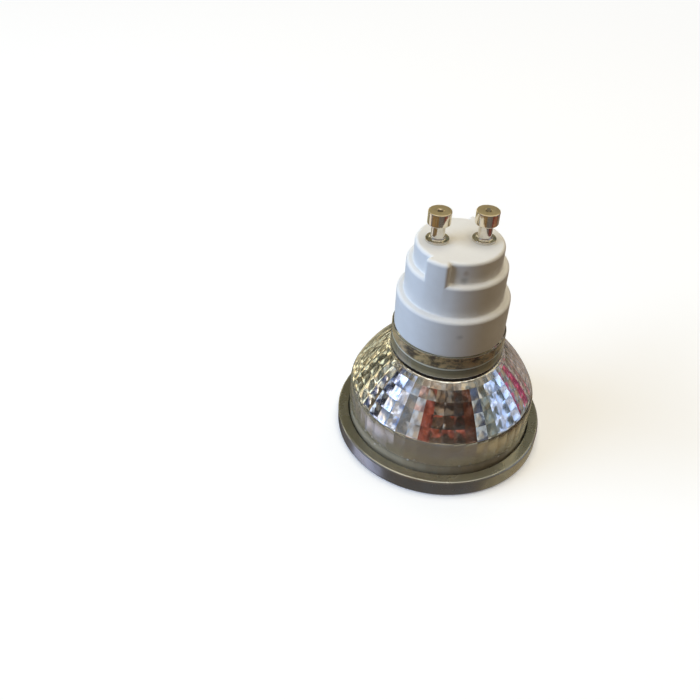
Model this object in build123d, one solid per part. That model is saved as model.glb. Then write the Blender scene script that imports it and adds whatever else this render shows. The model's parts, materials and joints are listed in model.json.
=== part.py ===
from build123d import *
import math
import os

# Reflector lamp with a two-pin twist-lock cap, standing on its front ring.
# Millimetres. The origin is the centre of the ring's front face, +Z runs up the lamp's axis to the
# contact pins, and the two pins stand on the X axis.

# Trim ring: a spun channel that clamps the lens against the reflector's flange
RING_DIAMETER = 50.7
RING_WALL = 0.5
RING_FACE_WIDTH = 4.5
WINDOW_DIAMETER = RING_DIAMETER - 2 * RING_FACE_WIDTH
FRONT_LIP_THICKNESS = 0.9
REAR_LIP_THICKNESS = 0.4
REAR_LIP_GAP = 0.35
INNER_BEAD_WIDTH = 1.4
OUTER_BEAD_WIDTH = 1.7
TROUGH_DEPTH = 0.5
RING_FRONT_RADIUS = 0.6
RING_REAR_RADIUS = 0.35
BEAD_RADIUS = 0.4
RING_CLEARANCE = 0.15

# Front lens
LENS_THICKNESS = 1.8
LENS_EDGE_CHAMFER = 0.2

# Ceramic cap: three steps with two keying lugs beside the pins
CAP_LOWER_DIAMETER = 25.5
CAP_LOWER_STEP = 1.6
CAP_UPPER_STEP = 1.5
CAP_MIDDLE_DIAMETER = CAP_LOWER_DIAMETER - 2 * CAP_LOWER_STEP
CAP_TOP_DIAMETER = CAP_MIDDLE_DIAMETER - 2 * CAP_UPPER_STEP
CAP_LOWER_HEIGHT = 9.4
CAP_MIDDLE_HEIGHT = 7.7
CAP_TOP_HEIGHT = 5.0
CAP_LOWER_WALL = 2.15
CAP_UPPER_WALL = 2.45
CAP_UPPER_BORE = CAP_MIDDLE_DIAMETER - 2 * CAP_UPPER_WALL
CAP_PLATE_THICKNESS = 5.6
CAP_EDGE_RADIUS = 0.7
CAP_FOOT_RADIUS = 0.3
LUG_WIDTH = 5.6
LUG_ANGLE = 55.5
LUG_EDGE_RADIUS = 0.5

# Contact pins: turned hollow pins, riveted under the cap's plate
PIN_SPACING = 10.0
PIN_LENGTH = 6.9
PIN_HEAD_DIAMETER = 5.0
PIN_HEAD_HEIGHT = 3.0
PIN_HEAD_RADIUS = 0.25
PIN_NECK_DIAMETER = 3.0
PIN_COLLAR_DIAMETER = 5.2
PIN_COLLAR_THICKNESS = 0.5
PIN_ROOT_RADIUS = 0.5
PIN_FLARE_OVERHANG = 0.6
PIN_FLARE_THICKNESS = 0.4
PIN_HOLE_CLEARANCE = 0.05
PIN_MOUTH_CHAMFER = 0.25

# Lead wires from the burner's foils to the pins' heads
LEAD_DIAMETER = 0.8
LEAD_BORE_CLEARANCE = 0.15
LEAD_STRAIGHT = 0.9
LEAD_BEND_RADIUS = 1.0
LEAD_SUNK = 0.7
LEAD_PROUD = 0.25

# Arc tube with its electrodes, frit seals and frame wires
ARC_BODY_DIAMETER = 4.8
ARC_BODY_LENGTH = 6.4
ARC_WALL = 0.6
ARC_SHOULDER_RADIUS = 1.4
ARC_GAP = 3.0
ELECTRODE_DIAMETER = 0.34
COIL_DIAMETER = 0.6
COIL_LENGTH = 0.9
FEEDTHROUGH_DIAMETER = 0.7
FEEDTHROUGH_CLEARANCE = 0.05
FEEDTHROUGH_TAIL = 1.2
LEG_DIAMETER = 1.7
LEG_LENGTH = 6.0
LEG_BORE = FEEDTHROUGH_DIAMETER + 2 * FEEDTHROUGH_CLEARANCE
FRIT_DIAMETER = 1.5
FRIT_HEIGHT = 0.4
FRAME_WIRE_DIAMETER = 0.6
FRAME_WIRE_GAP = 0.4
FRAME_BEND_RADIUS = 0.8
HOOK_OVERRUN = 0.5
GETTER_WIDTH = 2.0
GETTER_LENGTH = 3.0
GETTER_THICKNESS = 0.3

# Burner's envelope: quartz tube with a round tip and a flat pinch, sized to what it holds
JACKET_WALL = 1.0
JACKET_DIAMETER = ARC_BODY_DIAMETER + 2 * (FRAME_WIRE_DIAMETER + 2 * FRAME_WIRE_GAP + JACKET_WALL)
JACKET_TIP_GAP = 3.2
JACKET_TIP_ROOM = 2.1
JACKET_END_ROOM = 0.9
JACKET_END_RADIUS = 1.6
PINCH_MARGIN = 0.9
PINCH_THICKNESS = 3.4
PINCH_LENGTH = 9.0
PINCH_EDGE_RADIUS = 0.8
FOIL_WIDTH = 2.2
FOIL_THICKNESS = 0.1
FOIL_LENGTH = 5.0
FOIL_SETBACK = 1.2

# Cements round the reflector's boss and round the burner
CAP_CEMENT_THICKNESS = 0.5
BOSS_HEADROOM = 1.0
BURNER_CEMENT_THICKNESS = 2.2
BURNER_CEMENT_SETBACK = 2.0
BOND_GAP = 0.02

# Reflector: pressed glass, smooth outside and faceted inside, sized to the ring, the cap and the burner
FLANGE_THICKNESS = 1.4
FLANGE_STEP = 2.2
BARREL_DIAMETER = RING_DIAMETER - 2 * (RING_WALL + RING_CLEARANCE + FLANGE_STEP)
BARREL_HEIGHT = 9.2
BARREL_WALL = 1.9
SHOULDER_RADIUS = 1.5
DOME_HEIGHT = 11.9
DOME_BULGE = 1.0
NECK_LEDGE = 0.45
NECK_DIAMETER = CAP_LOWER_DIAMETER + 2 * NECK_LEDGE
NECK_HEIGHT = 6.4
NECK_ROOT_RADIUS = 0.8
NECK_EDGE_RADIUS = 0.3
BOSS_DIAMETER = CAP_LOWER_DIAMETER - 2 * (CAP_LOWER_WALL + CAP_CEMENT_THICKNESS)
BOSS_HEIGHT = 7.0
BURNER_BORE = JACKET_DIAMETER + 2 * BURNER_CEMENT_THICKNESS
MIRROR_EDGE_DROP = 0.5
MIRROR_APEX_RISE = 2.0
FACETS_AROUND = 48
FACET_ROWS = 8
LAST_ROW_CUT = 0.5

# Heights of the main faces, from the ring's front face up
lens_front = FRONT_LIP_THICKNESS
lens_back = lens_front + LENS_THICKNESS
flange_back = lens_back + FLANGE_THICKNESS
ring_back = flange_back + REAR_LIP_THICKNESS
shoulder = flange_back + BARREL_HEIGHT
neck_base = shoulder + DOME_HEIGHT
neck_top = neck_base + NECK_HEIGHT
boss_top = neck_top + BOSS_HEIGHT
lower_shelf = neck_top + CAP_LOWER_HEIGHT
upper_shelf = lower_shelf + CAP_MIDDLE_HEIGHT
cap_face = upper_shelf + CAP_TOP_HEIGHT
plate_under = cap_face - CAP_PLATE_THICKNESS
pin_top = cap_face + PIN_LENGTH
mirror_edge = shoulder - MIRROR_EDGE_DROP
mirror_apex = neck_base + MIRROR_APEX_RISE

# How far a leg, its feedthrough and the wire hooked over that reach from the arc tube's middle
leg_end = ARC_BODY_LENGTH / 2 + LEG_LENGTH
tail_end = leg_end + FEEDTHROUGH_TAIL
hook_end = tail_end + FRAME_WIRE_DIAMETER

# Heights along the burner, which stands off the lens
jacket_tip = lens_back + JACKET_TIP_GAP
arc_centre = jacket_tip + JACKET_WALL + JACKET_TIP_ROOM + hook_end
jacket_end = arc_centre + hook_end + JACKET_END_ROOM + JACKET_WALL
pinch_end = jacket_end + PINCH_LENGTH
foil_front = jacket_end + FOIL_SETBACK
foil_back = foil_front + FOIL_LENGTH

# Radii that more than one piece shares, and the pinch's width
channel_radius = RING_DIAMETER / 2 - RING_WALL
flange_radius = channel_radius - RING_CLEARANCE
barrel_radius = BARREL_DIAMETER / 2
mirror_radius = barrel_radius - BARREL_WALL
bore_radius = BURNER_BORE / 2
boss_radius = BOSS_DIAMETER / 2
cap_bore_radius = boss_radius + CAP_CEMENT_THICKNESS
jacket_radius = JACKET_DIAMETER / 2
jacket_inner_radius = jacket_radius - JACKET_WALL
frame_wire_radius = FRAME_WIRE_DIAMETER / 2
frame_wire_offset = jacket_inner_radius - FRAME_WIRE_GAP - frame_wire_radius
pinch_width = 2 * (frame_wire_offset + PINCH_MARGIN) + FOIL_WIDTH
lead_radius = LEAD_DIAMETER / 2
pin_bore_radius = lead_radius + LEAD_BORE_CLEARANCE
pin_neck_radius = PIN_NECK_DIAMETER / 2
pin_offset = PIN_SPACING / 2
leg_radius = LEG_DIAMETER / 2
feedthrough_radius = FEEDTHROUGH_DIAMETER / 2

MATCH = 1e-4


def turned(outline):
    """Turns a closed outline, drawn as radius and height, round the lamp's axis."""
    return revolve(Plane.XZ * make_face(outline), Axis.Z)


def turned_polygon(*points):
    """Turns a straight-sided outline, given by its corners."""
    return turned(Polyline(*points, close=True))


def rims(solid, *places):
    """The round edges of a turned solid at the given pairs of radius and height."""
    def at_a_place(edge):
        if edge.geom_type != GeomType.CIRCLE:
            return False
        height = edge.arc_center.Z
        return any(abs(edge.radius - r) < MATCH and abs(height - z) < MATCH for r, z in places)
    return solid.edges().filter_by(at_a_place)


def upright(radius, bottom, top):
    """A cylinder on the lamp's axis between two heights."""
    return Pos(0, 0, bottom) * Cylinder(radius, top - bottom, align=(Align.CENTER, Align.CENTER, Align.MIN))


def wire(diameter, bend_radius, *points):
    """A round wire along straight runs joined by tangent bends."""
    path = FilletPolyline(*points, radius=bend_radius)
    section = Plane(origin=path @ 0, z_dir=path % 0) * Circle(diameter / 2)
    return sweep(section, path)


def trim_ring():
    """Channel ring: two rounded beads with a trough between them in front, a plain wall, a rear lip."""
    window = WINDOW_DIAMETER / 2
    outside = RING_DIAMETER / 2
    inner_bead_end = window + INNER_BEAD_WIDTH
    outer_bead_start = outside - OUTER_BEAD_WIDTH
    rear_lip = barrel_radius + REAR_LIP_GAP
    ring = turned_polygon(
        (window, lens_front),
        (window, 0),
        (inner_bead_end, 0),
        (inner_bead_end, TROUGH_DEPTH),
        (outer_bead_start, TROUGH_DEPTH),
        (outer_bead_start, 0),
        (outside, 0),
        (outside, ring_back),
        (rear_lip, ring_back),
        (rear_lip, flange_back),
        (channel_radius, flange_back),
        (channel_radius, lens_front),
    )
    bead_edges = rims(ring, (window, 0), (inner_bead_end, 0), (outer_bead_start, 0))
    ring = fillet(bead_edges, BEAD_RADIUS)
    ring = fillet(rims(ring, (outside, 0)), RING_FRONT_RADIUS)
    return fillet(rims(ring, (outside, ring_back)), RING_REAR_RADIUS)


def front_lens():
    """Flat glass disc with ground edges."""
    lens = upright(flange_radius, lens_front, lens_back)
    return chamfer(lens.edges().filter_by(GeomType.CIRCLE), LENS_EDGE_CHAMFER)


def reflector_outside():
    """Smooth outer form: flange, barrel, bulged dome, neck and the boss inside the cap."""
    neck_radius = NECK_DIAMETER / 2
    straight = Polyline(
        (neck_radius, neck_base),
        (neck_radius, neck_top),
        (boss_radius, neck_top),
        (boss_radius, boss_top),
        (0, boss_top),
        (0, lens_back),
        (flange_radius, lens_back),
        (flange_radius, flange_back),
        (barrel_radius, flange_back),
        (barrel_radius, shoulder),
    )
    dome = SagittaArc((barrel_radius, shoulder), (neck_radius, neck_base), -DOME_BULGE)
    glass = turned(straight + dome)
    glass = fillet(rims(glass, (barrel_radius, shoulder)), SHOULDER_RADIUS)
    glass = fillet(rims(glass, (neck_radius, neck_base)), NECK_ROOT_RADIUS)
    return fillet(rims(glass, (neck_radius, neck_top)), NECK_EDGE_RADIUS)


def mirror_edges():
    """Radius across the flats and height of each line between two rows of facets, rim to apex.

    The first row is the fluted barrel, and the rest lie on a paraboloid. The bore cuts a share of the
    last row away.
    """
    rise = (mirror_apex - mirror_edge) / (mirror_radius ** 2 - bore_radius ** 2)
    row_step = (mirror_radius - bore_radius) / (FACET_ROWS - LAST_ROW_CUT)
    edges = [(mirror_radius, lens_front)]
    for row in range(FACET_ROWS + 1):
        radius = mirror_radius - row * row_step
        edges.append((radius, mirror_edge + rise * (mirror_radius ** 2 - radius ** 2)))
    return edges


def faceted_cavity():
    """The mirror's inside as a solid: rows of flat facets, each row a closed ring of trapezoids."""
    sector = 2 * math.pi / FACETS_AROUND

    def corner(edge, column):
        radius = edge[0] / math.cos(sector / 2)
        return Vector(radius * math.cos(column * sector), radius * math.sin(column * sector), edge[1])

    edges = mirror_edges()
    rows = [[corner(edge, column) for column in range(FACETS_AROUND)] for edge in edges]
    faces = [Face(Wire.make_polygon(rows[0])), Face(Wire.make_polygon(rows[-1]))]
    for lower, upper in zip(rows, rows[1:]):
        for column in range(FACETS_AROUND):
            beside = (column + 1) % FACETS_AROUND
            outline = [lower[column], lower[beside], upper[beside], upper[column]]
            faces.append(Face(Wire.make_polygon(outline)))
    return Solid(Shell(faces))


def reflector():
    """Pressed glass bowl with its facets and the bore for the burner."""
    return reflector_outside() - faceted_cavity() - upright(bore_radius, mirror_edge, boss_top)


def cap_lug(angle):
    """Keying lug, flush with the cap's middle step and its top face."""
    reach = CAP_MIDDLE_DIAMETER / 2
    foot = upper_shelf - CAP_EDGE_RADIUS
    height = cap_face - foot
    block = Box(reach, LUG_WIDTH, height, align=(Align.MIN, Align.CENTER, Align.MIN))
    lug = Pos(0, 0, foot) * block & upright(reach, foot, cap_face)
    outer_face = lug.faces().sort_by(Axis.X)[-1]
    upper_and_side = outer_face.edges().sort_by(Axis.Z)[1:]
    return Rot(0, 0, angle) * fillet(upper_and_side, LUG_EDGE_RADIUS)


def ceramic_cap():
    """Hollow stepped cap with rounded edges, two lugs and two pin holes."""
    lower = CAP_LOWER_DIAMETER / 2
    middle = CAP_MIDDLE_DIAMETER / 2
    upper = CAP_TOP_DIAMETER / 2
    cap = turned_polygon(
        (0, neck_top),
        (lower, neck_top),
        (lower, lower_shelf),
        (middle, lower_shelf),
        (middle, upper_shelf),
        (upper, upper_shelf),
        (upper, cap_face),
        (0, cap_face),
    )
    cap = fillet(rims(cap, (lower, lower_shelf), (middle, upper_shelf), (upper, cap_face)), CAP_EDGE_RADIUS)
    cap = fillet(rims(cap, (lower, neck_top)), CAP_FOOT_RADIUS)
    cap += [cap_lug(LUG_ANGLE), cap_lug(LUG_ANGLE + 180)]
    cap -= upright(cap_bore_radius, neck_top, boss_top + BOSS_HEADROOM)
    cap -= upright(CAP_UPPER_BORE / 2, neck_top, plate_under)
    pin_hole = upright(pin_neck_radius + PIN_HOLE_CLEARANCE, plate_under, cap_face)
    return cap - [Pos(side * pin_offset, 0, 0) * pin_hole for side in (-1, 1)]


def cap_cement():
    """Sleeve of cement between the reflector's boss and the cap's bore."""
    outer = upright(cap_bore_radius - BOND_GAP, neck_top, boss_top)
    return outer - upright(boss_radius + BOND_GAP, neck_top, boss_top)


def contact_pin(side):
    """Hollow pin: flare under the plate, shank, collar, neck and head."""
    head = PIN_HEAD_DIAMETER / 2
    collar = PIN_COLLAR_DIAMETER / 2
    head_under = pin_top - PIN_HEAD_HEIGHT
    collar_top = cap_face + PIN_COLLAR_THICKNESS
    flare = pin_neck_radius + PIN_FLARE_OVERHANG
    flare_end = plate_under - PIN_FLARE_THICKNESS
    pin = turned_polygon(
        (pin_bore_radius, flare_end),
        (flare, flare_end),
        (flare, plate_under),
        (pin_neck_radius, plate_under),
        (pin_neck_radius, cap_face),
        (collar, cap_face),
        (collar, collar_top),
        (pin_neck_radius, collar_top),
        (pin_neck_radius, head_under),
        (head, head_under),
        (head, pin_top),
        (pin_bore_radius, pin_top),
    )
    pin = fillet(rims(pin, (pin_neck_radius, collar_top)), PIN_ROOT_RADIUS)
    pin = fillet(rims(pin, (head, pin_top), (head, head_under)), PIN_HEAD_RADIUS)
    pin = chamfer(rims(pin, (pin_bore_radius, pin_top)), PIN_MOUTH_CHAMFER)
    return Pos(side * pin_offset, 0, 0) * pin


def lead_wire(side, end):
    """Outer lead: out of the pinch, across to the pin and up its bore to the given height."""
    foil_x = side * frame_wire_offset
    pin_x = side * pin_offset
    jog_start = pinch_end + LEAD_STRAIGHT
    jog_end = plate_under - PIN_FLARE_THICKNESS - LEAD_STRAIGHT
    return wire(
        LEAD_DIAMETER,
        LEAD_BEND_RADIUS,
        (foil_x, 0, foil_back),
        (foil_x, 0, jog_start),
        (pin_x, 0, jog_end),
        (pin_x, 0, end),
    )


def jacket_form():
    """Outer form of the envelope: round tip, tube, rounded end and flat pinch."""
    tip_centre = jacket_tip + jacket_radius
    tube = upright(jacket_radius, tip_centre, jacket_end)
    tube = fillet(rims(tube, (jacket_radius, jacket_end)), JACKET_END_RADIUS)
    tip = Pos(0, 0, tip_centre) * Sphere(jacket_radius)
    root = jacket_end - JACKET_END_RADIUS
    pinch = Box(pinch_width, PINCH_THICKNESS, pinch_end - root, align=(Align.CENTER, Align.CENTER, Align.MIN))
    pinch = fillet(pinch.edges().filter_by(Axis.Z), PINCH_EDGE_RADIUS)
    return tube + tip + Pos(0, 0, root) * pinch


def quartz_jacket(sealed_in):
    """Envelope pressed round the foils and wires that its pinch seals in."""
    tip_centre = jacket_tip + jacket_radius
    hollow = upright(jacket_inner_radius, tip_centre, jacket_end - JACKET_WALL)
    hollow += Pos(0, 0, tip_centre) * Sphere(jacket_inner_radius)
    return jacket_form() - hollow - sealed_in


def burner_cement():
    """Cement plug that holds the envelope in the reflector's bore."""
    return upright(bore_radius - BOND_GAP, mirror_apex + BURNER_CEMENT_SETBACK, boss_top) - jacket_form()


def foil(side):
    """Sealing foil inside the pinch, between the frame wire and the outer lead."""
    strip = Box(FOIL_WIDTH, FOIL_THICKNESS, FOIL_LENGTH, align=(Align.CENTER, Align.CENTER, Align.MIN))
    return Pos(side * frame_wire_offset, 0, foil_front) * strip


def return_wire():
    """Frame wire along the arc tube, hooked under the front electrode's tail."""
    hook = arc_centre - tail_end - frame_wire_radius
    return wire(
        FRAME_WIRE_DIAMETER,
        FRAME_BEND_RADIUS,
        (frame_wire_offset, 0, foil_front),
        (frame_wire_offset, 0, hook),
        (-HOOK_OVERRUN, 0, hook),
    )


def short_lead():
    """Frame wire from the other foil to the rear electrode's tail."""
    hook = arc_centre + tail_end + frame_wire_radius
    return wire(
        FRAME_WIRE_DIAMETER,
        FRAME_BEND_RADIUS,
        (-frame_wire_offset, 0, foil_front),
        (-frame_wire_offset, 0, hook),
        (HOOK_OVERRUN, 0, hook),
    )


def arc_tube():
    """Translucent ceramic vessel: a barrel with rounded ends and two capillary legs."""
    half = ARC_BODY_LENGTH / 2
    body = ARC_BODY_DIAMETER / 2
    room = body - ARC_WALL
    room_half = half - ARC_WALL
    vessel = upright(body, -half, half)
    vessel = fillet(vessel.edges().filter_by(GeomType.CIRCLE), ARC_SHOULDER_RADIUS)
    vessel += upright(leg_radius, -leg_end, leg_end)
    inside = upright(room, -room_half, room_half)
    inside = fillet(inside.edges().filter_by(GeomType.CIRCLE), ARC_SHOULDER_RADIUS - ARC_WALL)
    inside += upright(LEG_BORE / 2, -leg_end, leg_end)
    return Pos(0, 0, arc_centre) * (vessel - inside)


def electrode(end):
    """Electrode with its coil, and the feedthrough that carries it out of a leg: end is 1 or -1."""
    stem = ELECTRODE_DIAMETER / 2
    coil = COIL_DIAMETER / 2
    tip = ARC_GAP / 2
    step = ARC_BODY_LENGTH / 2
    pin = turned_polygon(
        (0, tip),
        (coil, tip),
        (coil, tip + COIL_LENGTH),
        (stem, tip + COIL_LENGTH),
        (stem, step),
        (feedthrough_radius, step),
        (feedthrough_radius, tail_end),
        (0, tail_end),
    )
    return Pos(0, 0, arc_centre) * (pin if end > 0 else mirror(pin, Plane.XY))


def frit_seal(end):
    """Bead of sealing glass round the feedthrough on the end of a leg."""
    bead = upright(FRIT_DIAMETER / 2, leg_end, leg_end + FRIT_HEIGHT)
    bead = fillet(rims(bead, (FRIT_DIAMETER / 2, leg_end + FRIT_HEIGHT)), FRIT_HEIGHT / 2)
    bead -= upright(feedthrough_radius + BOND_GAP, leg_end, leg_end + FRIT_HEIGHT)
    return Pos(0, 0, arc_centre) * (bead if end > 0 else mirror(bead, Plane.XY))


def getter():
    """Getter strip welded to the return wire beside the rear leg."""
    strip = Box(GETTER_THICKNESS, GETTER_WIDTH, GETTER_LENGTH, align=(Align.MAX, Align.CENTER, Align.CENTER))
    height = arc_centre + ARC_BODY_LENGTH / 2 + LEG_LENGTH / 2
    return Pos(frame_wire_offset - frame_wire_radius, 0, height) * strip


pieces = {
    "trim_ring": trim_ring(),
    "front_lens": front_lens(),
    "reflector": reflector(),
    "ceramic_cap": ceramic_cap(),
    "cap_cement": cap_cement(),
    "contact_pin_left": contact_pin(-1),
    "contact_pin_right": contact_pin(1),
    "lead_wire_left": lead_wire(-1, pin_top - LEAD_SUNK),
    "lead_wire_right": lead_wire(1, pin_top + LEAD_PROUD),
    "burner_cement": burner_cement(),
    "foil_left": foil(-1),
    "foil_right": foil(1),
    "return_wire": return_wire(),
    "short_lead": short_lead(),
    "arc_tube": arc_tube(),
    "front_electrode": electrode(-1),
    "rear_electrode": electrode(1),
    "front_frit_seal": frit_seal(-1),
    "rear_frit_seal": frit_seal(1),
    "getter": getter(),
}
sealed_names = ("foil_left", "foil_right", "return_wire", "short_lead", "lead_wire_left", "lead_wire_right")
pieces["quartz_jacket"] = quartz_jacket([pieces[name] for name in sealed_names])

os.makedirs("parts", exist_ok=True)
for name, piece in pieces.items():
    export_step(piece, f"parts/{name}.step")
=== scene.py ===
import json
import math

import bmesh
import bpy
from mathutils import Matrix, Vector

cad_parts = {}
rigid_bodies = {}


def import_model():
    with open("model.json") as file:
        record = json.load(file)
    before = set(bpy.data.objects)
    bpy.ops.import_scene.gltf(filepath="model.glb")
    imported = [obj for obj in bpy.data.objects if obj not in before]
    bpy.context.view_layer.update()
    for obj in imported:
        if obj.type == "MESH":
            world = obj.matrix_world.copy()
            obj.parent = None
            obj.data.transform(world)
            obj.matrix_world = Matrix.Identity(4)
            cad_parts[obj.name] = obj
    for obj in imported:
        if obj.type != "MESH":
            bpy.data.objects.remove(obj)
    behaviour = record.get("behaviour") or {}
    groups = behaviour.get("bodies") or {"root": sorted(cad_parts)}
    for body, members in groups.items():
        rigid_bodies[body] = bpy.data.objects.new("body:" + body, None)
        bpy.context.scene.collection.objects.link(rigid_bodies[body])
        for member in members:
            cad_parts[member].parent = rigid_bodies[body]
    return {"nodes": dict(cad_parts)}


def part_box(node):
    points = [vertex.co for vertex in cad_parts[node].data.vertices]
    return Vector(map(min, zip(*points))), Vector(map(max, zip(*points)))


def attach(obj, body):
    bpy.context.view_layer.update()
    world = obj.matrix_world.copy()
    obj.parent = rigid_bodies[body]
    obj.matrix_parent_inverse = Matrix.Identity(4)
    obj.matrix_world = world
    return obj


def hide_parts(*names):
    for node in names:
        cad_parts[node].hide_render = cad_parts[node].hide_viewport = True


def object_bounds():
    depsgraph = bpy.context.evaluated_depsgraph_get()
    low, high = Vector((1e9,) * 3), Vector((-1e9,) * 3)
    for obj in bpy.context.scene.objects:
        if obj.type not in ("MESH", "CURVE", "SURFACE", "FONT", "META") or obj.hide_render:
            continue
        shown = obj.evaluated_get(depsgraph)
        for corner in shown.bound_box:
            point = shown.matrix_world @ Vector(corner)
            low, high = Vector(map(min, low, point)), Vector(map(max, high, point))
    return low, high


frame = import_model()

# A reflector lamp that stands on its front ring with its contact pins up.
# The outer pieces are modelled again here with soft edges and smooth glass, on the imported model's boxes.
# Lengths are in metres, and those given in millimetres are multiplied by MM.

MM = 0.001
NEAR = 0.002 * MM
cad_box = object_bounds()

ring_low, ring_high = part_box("trim_ring")
lens_low, lens_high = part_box("front_lens")
bowl_low, bowl_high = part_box("reflector")
cap_low, cap_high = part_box("ceramic_cap")
cement_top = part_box("cap_cement")[1].z
pin_low, pin_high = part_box("contact_pin_right")
pin_offset = (pin_low.x + pin_high.x) / 2

# Steps round a turned piece, and along a rounded corner
SMOOTH_STEPS = 192
PIN_STEPS = 72
CORNER_STEPS = 5
FACETS_AROUND = 48
FACET_ROWS = 8
SMOOTH_ANGLE = math.radians(30)

# Trim ring and lens
RING_WALL = 0.5 * MM
RING_FACE_WIDTH = 4.5 * MM
REAR_LIP = 0.4 * MM
REAR_LIP_GAP = 0.35 * MM
INNER_BEAD = 1.4 * MM
OUTER_BEAD = 1.7 * MM
TROUGH_DEPTH = 0.5 * MM
RING_FRONT_ROUND = 0.6 * MM
RING_REAR_ROUND = 0.5 * MM
BEAD_ROUND = 0.4 * MM
LENS_EDGE = 0.2 * MM

# Reflector
FLANGE_THICKNESS = 1.4 * MM
BARREL_RADIUS = 22.5 * MM
BARREL_HEIGHT = 9.2 * MM
BARREL_WALL = 1.9 * MM
DOME_HEIGHT = 11.9 * MM
DOME_BULGE = 1.0 * MM
DOME_STEPS = 20
SHOULDER_ROUND = 1.5 * MM
NECK_RADIUS = 13.2 * MM
NECK_ROOT_ROUND = 0.8 * MM
NECK_EDGE_ROUND = 0.3 * MM
BOSS_RADIUS = 10.1 * MM
BORE_RADIUS = 7.0 * MM
MIRROR_EDGE_DROP = 0.5 * MM
MIRROR_APEX_RISE = 2.0 * MM
LAST_ROW_CUT = 0.5

# Ceramic cap
CAP_STEPS = (1.6 * MM, 1.5 * MM)
CAP_HEIGHTS = (9.4 * MM, 7.7 * MM)
CAP_WALLS = (2.15 * MM, 2.45 * MM)
CAP_PLATE = 5.6 * MM
CAP_EDGE_ROUND = 0.8 * MM
HOLLOW_SHARE = 0.45
FOOT_SHARE = 0.4
LUG_SHARE = 0.9
BOSS_HEADROOM = 1.0 * MM
LUG_AZIMUTHS = (math.radians(55.5), math.radians(235.5))
LUG_HALF = math.radians(14.5)
LUG_STEPS = 6
PLAIN_STEPS = 31
PIN_HOLE_RADIUS = 1.55 * MM

# Contact pins
PIN_LENGTH = 6.9 * MM
PIN_HEAD_RADIUS = 2.5 * MM
PIN_HEAD_HEIGHT = 3.0 * MM
PIN_HEAD_ROUND = 0.25 * MM
PIN_NECK_RADIUS = 1.5 * MM
PIN_COLLAR_RADIUS = 2.6 * MM
PIN_COLLAR_THICKNESS = 0.5 * MM
PIN_COLLAR_ROUND = 0.18 * MM
PIN_ROOT_ROUND = 0.5 * MM
PIN_FLARE_RADIUS = 2.1 * MM
PIN_FLARE_THICKNESS = 0.4 * MM
PIN_BORE_RADIUS = 0.55 * MM
PIN_MOUTH = 0.25 * MM


# Modelling steps

def start_point():
    """Adds a plane to the open mesh and pulls it together to one selected point at the origin."""
    bpy.ops.mesh.select_all(action="DESELECT")
    bpy.ops.mesh.primitive_plane_add(size=MM)
    bpy.ops.mesh.merge(type="CENTER")


def open_piece(name):
    """Adds a new piece that holds one selected point at the origin, and opens it for editing."""
    bpy.ops.object.select_all(action="DESELECT")
    bpy.ops.mesh.primitive_plane_add(size=MM)
    piece = bpy.context.object
    piece.name = name
    piece.data.name = name
    bpy.ops.object.mode_set(mode="EDIT")
    bpy.ops.mesh.select_mode(type="VERT")
    bpy.ops.mesh.merge(type="CENTER")
    return piece


def draw_outline(corners, azimuth=0.0):
    """Moves the selected point to the first corner and extrudes it along the rest, in an upright plane."""
    across = Vector((math.cos(azimuth), math.sin(azimuth), 0))
    places = [across * corner[0] + Vector((0, 0, corner[1])) for corner in corners]
    bpy.ops.transform.translate(value=places[0])
    for here, there in zip(places, places[1:]):
        bpy.ops.mesh.extrude_region_move(TRANSFORM_OT_translate={"value": there - here})


def pick_points(piece, places):
    """Selects the open mesh's points at the given places, and nothing else."""
    bpy.ops.mesh.select_all(action="DESELECT")
    mesh = bmesh.from_edit_mesh(piece.data)
    for point in mesh.verts:
        point.select_set(any((point.co - place).length < NEAR for place in places))
    bmesh.update_edit_mesh(piece.data)


def round_corners(piece, corners):
    """Rounds the drawn outline at each corner that carries a rounding."""
    bpy.ops.mesh.select_all(action="SELECT")
    bpy.ops.mesh.remove_doubles(threshold=NEAR)
    for rounding in sorted({corner[2] for corner in corners if len(corner) > 2}):
        places = [Vector((c[0], 0, c[1])) for c in corners if len(c) > 2 and c[2] == rounding]
        pick_points(piece, places)
        bpy.ops.mesh.bevel(offset=rounding, segments=CORNER_STEPS, affect="VERTICES")


def spin_outline(steps, sweep=math.tau):
    """Spins what is selected round the lamp's axis, anticlockwise from above."""
    bpy.ops.mesh.spin(steps=steps, angle=-sweep, center=(0, 0, 0), axis=(0, 0, 1))


def close_seams():
    """Merges the seams and poles of the open mesh and points its faces outwards."""
    bpy.ops.mesh.select_all(action="SELECT")
    bpy.ops.mesh.remove_doubles(threshold=NEAR)
    bpy.ops.mesh.normals_make_consistent(inside=False)


def smooth_shading():
    """Shades the selected piece smooth up to the edges that stay sharp."""
    bpy.ops.object.shade_smooth_by_angle(angle=SMOOTH_ANGLE)


def even_shading(piece):
    """Keeps flat faces flat beside their rounded edges."""
    normals = piece.modifiers.new("flat faces", "WEIGHTED_NORMAL")
    normals.keep_sharp = True
    bpy.ops.object.modifier_apply(modifier=normals.name)


def spun_piece(name, corners, steps):
    """A piece spun round the lamp's axis: corners are radius, height and, where soft, a rounding."""
    piece = open_piece(name)
    draw_outline(corners)
    round_corners(piece, corners)
    bpy.ops.mesh.select_all(action="SELECT")
    spin_outline(steps)
    close_seams()
    bpy.ops.object.mode_set(mode="OBJECT")
    return piece


def turned_piece(name, corners, steps):
    """A closed, smooth piece that is spun from one outline."""
    piece = spun_piece(name, corners, steps)
    smooth_shading()
    even_shading(piece)
    return piece


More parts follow.
